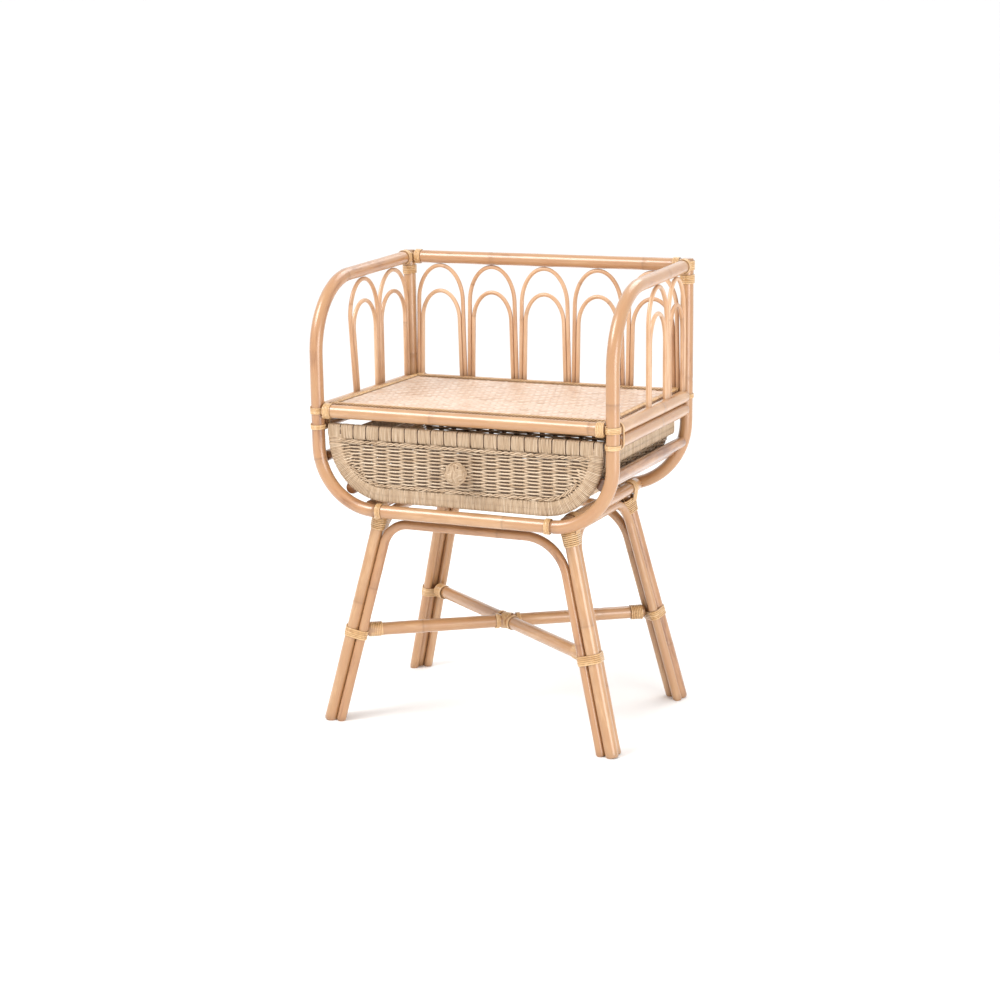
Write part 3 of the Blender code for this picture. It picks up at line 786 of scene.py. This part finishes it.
def weave_rows(levels, reach, y, amplitude, radius, seed, phase=0, tones=(0.4, 1.3)):
    """Strands that pass in front of and behind upright stakes, one row above another. reach
    gives a row's half length from its height, and phase shifts the rows by one stake."""
    rng = random.Random(seed)
    strands = []
    for row, z in enumerate(levels):
        half = reach(z)
        count = int(2 * half / 0.0016)
        x = np.linspace(-half, half, count)
        sign = 1 if (row + phase) % 2 else -1
        bulge = np.cos(math.pi * x / STAKE_SPACING) * sign
        sag = 0.0003 * np.sin(x * 60 + rng.random() * 6)
        path = np.column_stack([x, y - amplitude * bulge, z + sag])
        # painted shade: a row darkened where it passes behind a stake, and along its sides between
        # rows
        shade_behind_stake = 0.8 * np.clip(-bulge, 0, 1) ** 1.5
        strands.append(sweep(path, ellipse(radius, radius * 0.8, 10), ring=shade_behind_stake, edge=0.5,
                             normals=np.array((0, 1.0, 0)), tone=rng.uniform(*tones)))
    return strands


def stake_strands(count, y, bottom, top, half_w):
    """Flat upright stakes on both sides of the middle one, coloured dark as painted shade where
    they show between the rows. bottom gives a foot's height.
    """
    strands = []
    for k in range(-count, count + 1):
        x = k * STAKE_SPACING
        path = resample([(x, y, bottom(x)), (x, y, top)], 0.006)
        strands.append(sweep(path, ellipse(0.0009, half_w, 8), tone=0.1,
                             normals=np.array((1.0, 0, 0)), ring=np.full(len(path), 0.9)))
    return strands


def drawer_front():
    """The wrapped border and top bar, the woven field and the ropes and strands between them."""
    low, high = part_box("drawer_front_frame")
    half, bottom, top = high.x, low.z, high.z
    y = (low.y + high.y) / 2
    half_t = (high.y - low.y) / 2
    inset = BORDER_W / 2
    across = np.array((0, 1.0, 0))
    line = [(x, y, z) for x, z in border_path(inset, half, top, bottom)]
    top_line = [(-half + 0.001, y, top - inset), (half - 0.001, y, top - inset)]
    pitch = 0.0024
    strands = wrap_loops(line, across, inset - PEEL_T, half_t - PEEL_T, pitch, "border")
    piece("drawer_border_wrap", strands, WICKER, "drawer", ["drawer_front_frame"])
    strands = wrap_loops(top_line, across, inset - PEEL_T, half_t - 0.0002, pitch, "rim",
                         block=10)
    piece("drawer_top_wrap", strands, WICKER, "drawer")
    cores = [bar_core(line, across, inset, half_t), bar_core(top_line, across, inset, half_t)]
    piece("drawer_border_core", cores, WICKER, "drawer")

    inner_half = half - BORDER_W
    corner_z = bottom + CORNER_R
    inner_r = CORNER_R - BORDER_W
    field_top = top - BORDER_W
    field_bottom = bottom + BORDER_W

    def reach(z):
        return outline_x(z, inner_half, corner_z, inner_r) + 0.004

    face = y - 0.0005
    row_pitch = 0.0029
    levels = np.arange(field_bottom - 0.001, field_top, row_pitch)
    strands = weave_rows(levels, reach, face, 0.0026, 0.00145, "field")

    def foot(x):
        beyond = max(0.0, abs(x) - (half - CORNER_R))
        return corner_z - math.sqrt(max(inner_r ** 2 - beyond ** 2, 0)) - 0.004

    strands += stake_strands(8, face + 0.0002, foot, field_top + 0.004, 0.0062)
    piece("drawer_field_weave", strands, WICKER, "drawer", ["drawer_front_field"])

    rope_y = y - half_t + 0.0008
    rope_top = [(-inner_half - 0.006, rope_y, field_top - 0.0028),
                (inner_half + 0.006, rope_y, field_top - 0.0028)]
    piece("drawer_rope_top", braid(rope_top, 0.0016, 0.0014, 0.022, 2, -across), WICKER, "drawer")
    rope = [(x, rope_y, z) for x, z in border_path(BORDER_W + 0.0030, half, top, bottom)
            if z < corner_z - 0.045]
    piece("drawer_rope_bottom", braid(rope, 0.0015, 0.0013, 0.022, 2, -across), WICKER, "drawer")

    rays = side_rays(half - CORNER_R, corner_z, inner_r, rope_y, across)
    piece("drawer_side_rays", rays, WICKER, "drawer")


def side_rays(corner_x, corner_z, inner_r, y, normal):
    """Short strands that run from the side borders into the field: the first of them are level,
    above the round corner, and the rest fan round it."""
    rng = random.Random("rays")
    level_share, spread, fan = 0.35, 0.055, math.radians(58)
    rays = []
    for side in SIDES:
        for share in np.arange(26) / 25:
            if share < level_share:
                angle = 0.0
                z = corner_z - 0.002 + (level_share - share) * spread
            else:
                angle = (share - level_share) / (1 - level_share) * fan
                z = corner_z - inner_r * math.sin(angle)
            x = corner_x + inner_r * math.cos(angle)
            length = rng.uniform(0.010, 0.017)
            dx, dz = math.cos(angle), -math.sin(angle)
            start = (side * (x + 0.004 * dx), y + 0.0002, z + 0.004 * dz)
            end = (side * (x - length * dx), y + 0.0030, z - length * dz * 0.5)
            rays.append(sweep(resample([start, end], 0.002), ellipse(0.0011, 0.0008, 6),
                              normals=normal, tone=rng.uniform(0.4, 1.0)))
    return rays


def knob():
    """A ball woven from bands of strands that cross over and under one another."""
    low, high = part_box("drawer_knob")
    radius = (high.x - low.x) / 2
    centre = Vector(((low.x + high.x) / 2, low.y + radius, (low.z + high.z) / 2))
    strands = []
    turn = np.linspace(0, 2 * math.pi, 90, endpoint=False)
    axes = [Vector((1, 0.25, 0.35)), Vector((-0.45, 0.2, 1)), Vector((0.55, 0.3, -0.8)),
            Vector((0.1, 1, 0.15)), Vector((-0.9, 0.5, -0.3)), Vector((0.3, -0.8, 0.6)),
            Vector((-0.5, -0.7, 0.2)), Vector((0.8, 0.1, -0.1)), Vector((-0.1, 0.15, -1))]
    for index, axis in enumerate(axes):
        axis = axis.normalized()
        side = axis.orthogonal().normalized()
        other = axis.cross(side)
        for lane in (-2.5, -1.5, -0.5, 0.5, 1.5, 2.5):
            latitude = lane * 0.09
            wave = radius - 0.0018 + 0.0008 * np.sin(turn * 5 + index * 1.3)
            ring = (np.array(side)[None] * np.cos(turn)[:, None]
                    + np.array(other)[None] * np.sin(turn)[:, None]) * math.cos(latitude)
            out = ring + np.array(axis)[None] * math.sin(latitude)
            path = np.array(centre)[None] + out * wave[:, None]
            # edge darkens each strand's sides: painted shade between the crossing strands
            strands.append(sweep(path, ellipse(0.0009, 0.0009, 8), normals=out, closed=True,
                                 tone=0.3 + 0.7 * ((index * 3 + 2 * lane) % 5) / 5, edge=0.8))
    # a dark core fills the ball: painted shade seen through the gaps between the bands
    share = np.linspace(-1, 1, 16)
    core = [(centre.x, centre.y + t, centre.z) for t in share * (radius - 0.003)]
    swell = np.sqrt(np.clip(1 - share ** 2, 0.02, 1))
    strands.append(sweep(core, ellipse(radius - 0.0028, radius - 0.0028, 20), scale=swell,
                         tone=0.0, ring=np.full(16, 1.0)))
    neck = [(centre.x, y, centre.z) for y in np.linspace(centre.y + radius * 0.7, high.y, 5)]
    strands.append(sweep(neck, ellipse(0.009, 0.009, 16), tone=0.3))
    piece("drawer_knob_weave", strands, WICKER, "drawer", ["drawer_knob"])


def drawer_body():
    """The woven trough of the drawer, its woven back and the wrapped rims along their top."""
    low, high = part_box("drawer_body")
    bottom, top = low.z, high.z
    front_low, front_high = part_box("drawer_front_frame")
    front = front_high.y
    back = middle("drawer_back").y
    cx = front_high.x - CORNER_R
    cz = front_low.z + CORNER_R
    thick = 0.003                  # half the wall
    radius = cz - bottom - thick
    begin = math.asin((cz - top) / radius)
    arc = [(-cx - radius * math.cos(a), cz - radius * math.sin(a))
           for a in np.linspace(begin, math.pi / 2, 30)]
    line = arc + [(-x, z) for x, z in arc[::-1]]
    wall = resample([(x, 0, z) for x, z in line], 0.0039)
    tangents = unit(np.gradient(wall, axis=0))
    outward = np.column_stack([tangents[:, 2], np.zeros(len(wall)), -tangents[:, 0]])
    rng = random.Random("body")
    spacing = 0.024
    strands = []
    ys = np.arange(front + 0.001, back, 0.002)
    for row, (point, out) in enumerate(zip(wall, outward)):
        sign = 1 if row % 2 else -1
        bulge = 0.0014 * sign * np.cos(math.pi * (ys - front) / spacing)
        path = point[None] + out[None] * bulge[:, None]
        path[:, 1] = ys
        strands.append(sweep(path, ellipse(0.0018, 0.0014, 6), normals=out,
                             tone=rng.uniform(0.2, 0.9)))
    for y in np.arange(front + spacing, back, spacing):
        path = wall.copy()
        path[:, 1] = y
        strands.append(sweep(path, ellipse(0.0018, 0.0013, 8), normals=outward, tone=0.2))
    piece("drawer_body_weave", strands, WICKER, "drawer", ["drawer_body"])

    def reach(z):
        return outline_x(z, cx + radius + thick, cz, radius + thick) - 0.002

    levels = np.arange(bottom + 0.002, top + 0.002, 0.0032)
    # low tones for the back's strands: painted shade for the enclosed inside of the drawer
    strands = weave_rows(levels, reach, back, 0.0016, 0.0016, "back", phase=1,
                         tones=(-0.5, 0.2))

    def foot(x):
        beyond = max(0.0, abs(x) - cx)
        return cz - math.sqrt(max((radius + thick) ** 2 - beyond ** 2, 0)) + 0.001

    strands += stake_strands(9, back, foot, top + 0.004, 0.0050)
    piece("drawer_back_weave", strands, WICKER, "drawer", ["drawer_back"])

    for node, axis in (("drawer_left_rim", 1), ("drawer_right_rim", 1), ("drawer_back_rim", 0)):
        wrapped_rim(node, axis)


def wrapped_rim(node, axis):
    """A wrapped bar along X (0) or Y (1), where its CAD node is."""
    low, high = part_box(node)
    start, end = (low + high) / 2, (low + high) / 2
    start[axis], end[axis] = low[axis] + 0.001, high[axis] - 0.001
    thin = 1 - axis
    thin_way = np.array((1.0, 0, 0)) if thin == 0 else np.array((0, 1.0, 0))
    half_w = (high.z - low.z) / 2
    half_t = (high[thin] - low[thin]) / 2
    line = [start, end]
    strands = wrap_loops(line, thin_way, half_w - PEEL_T, half_t - PEEL_T, 0.0026, node,
                         tones=(0.5, 1.2))
    strands.append(bar_core(line, thin_way, half_w, half_t))
    piece(node + "_wrap", strands, WICKER, "drawer", [node])


# ------------------------------------------------------------ studio

def studio():
    """A pale floor that curves up behind the table, a white world and three soft lights."""
    floor_mat = bpy.data.materials.new("studio_floor")
    floor_mat.use_nodes = True
    shader = floor_mat.node_tree.nodes["Principled BSDF"]
    shader.inputs["Base Color"].default_value = (0.92, 0.92, 0.92, 1)
    shader.inputs["Roughness"].default_value = 0.9
    size, level, rise, bend = 9.0, 4.0, 5.0, 2.5
    profile = [(-size, 0.0), (level, 0.0)]
    profile += [(level + bend * math.sin(a), bend - bend * math.cos(a))
                for a in np.linspace(0.05, math.pi / 2, 24)]
    profile.append((level + bend, rise))
    verts = [(x, y, z) for x in (-size, size) for y, z in profile]
    count = len(profile)
    faces = [(i, i + 1, count + i + 1, count + i) for i in range(count - 1)]
    mesh = bpy.data.meshes.new("studio_floor")
    mesh.from_pydata(verts, [], faces)
    mesh.shade_smooth()
    mesh.materials.append(floor_mat)
    floor = bpy.data.objects.new("studio_floor", mesh)
    floor.rotation_euler.z = 0.42
    bpy.context.scene.collection.objects.link(floor)
    world = bpy.data.worlds.new("studio_world")
    world.use_nodes = True
    world.node_tree.nodes["Background"].inputs["Color"].default_value = (1, 0.99, 0.98, 1)
    world.node_tree.nodes["Background"].inputs["Strength"].default_value = 1.0
    bpy.context.scene.world = world
    bpy.context.scene.view_settings.view_transform = "Standard"
    for name, place, size, power in (("key", (-1.5, -1.9, 3.0), 1.8, 84),
                                     ("fill", (2.7, -1.4, 0.8), 1.8, 42),
                                     ("rim", (0.3, 2.0, 3.0), 2.0, 30)):
        light = bpy.data.lights.new(name, "AREA")
        light.shape = "DISK"
        light.size = size
        light.energy = power
        lamp = bpy.data.objects.new(name, light)
        lamp.location = place
        aim = Vector((0, 0, 0.4)) - Vector(place)
        lamp.rotation_euler = aim.to_track_quat("-Z", "Y").to_euler()
        bpy.context.scene.collection.objects.link(lamp)


def camera():
    """At the reference photograph's angle: to the right of the front, and above the top."""
    yaw, pitch, roll = 0.4235, 0.2194, -0.0126
    ahead = Vector((-math.sin(yaw) * math.cos(pitch), math.cos(yaw) * math.cos(pitch),
                    -math.sin(pitch)))
    right = Vector((math.cos(yaw), math.sin(yaw), 0))
    up = right.cross(ahead)
    right, up = (right * math.cos(roll) + up * math.sin(roll),
                 up * math.cos(roll) - right * math.sin(roll))
    data = bpy.data.cameras.new("camera")
    data.lens = 72.73
    data.sensor_width = 36
    eye = bpy.data.objects.new("camera", data)
    turn = Matrix((right, up, -ahead)).transposed().to_4x4()
    eye.matrix_world = Matrix.Translation((1.3873, CY - 3.1027, 1.1332)) @ turn
    bpy.context.scene.collection.objects.link(eye)
    bpy.context.scene.camera = eye


frame_poles()
gallery()
legs()
bindings()
lashing()
shelf()
drawer_front()
knob()
drawer_body()
studio()
camera()

bpy.context.view_layer.update()
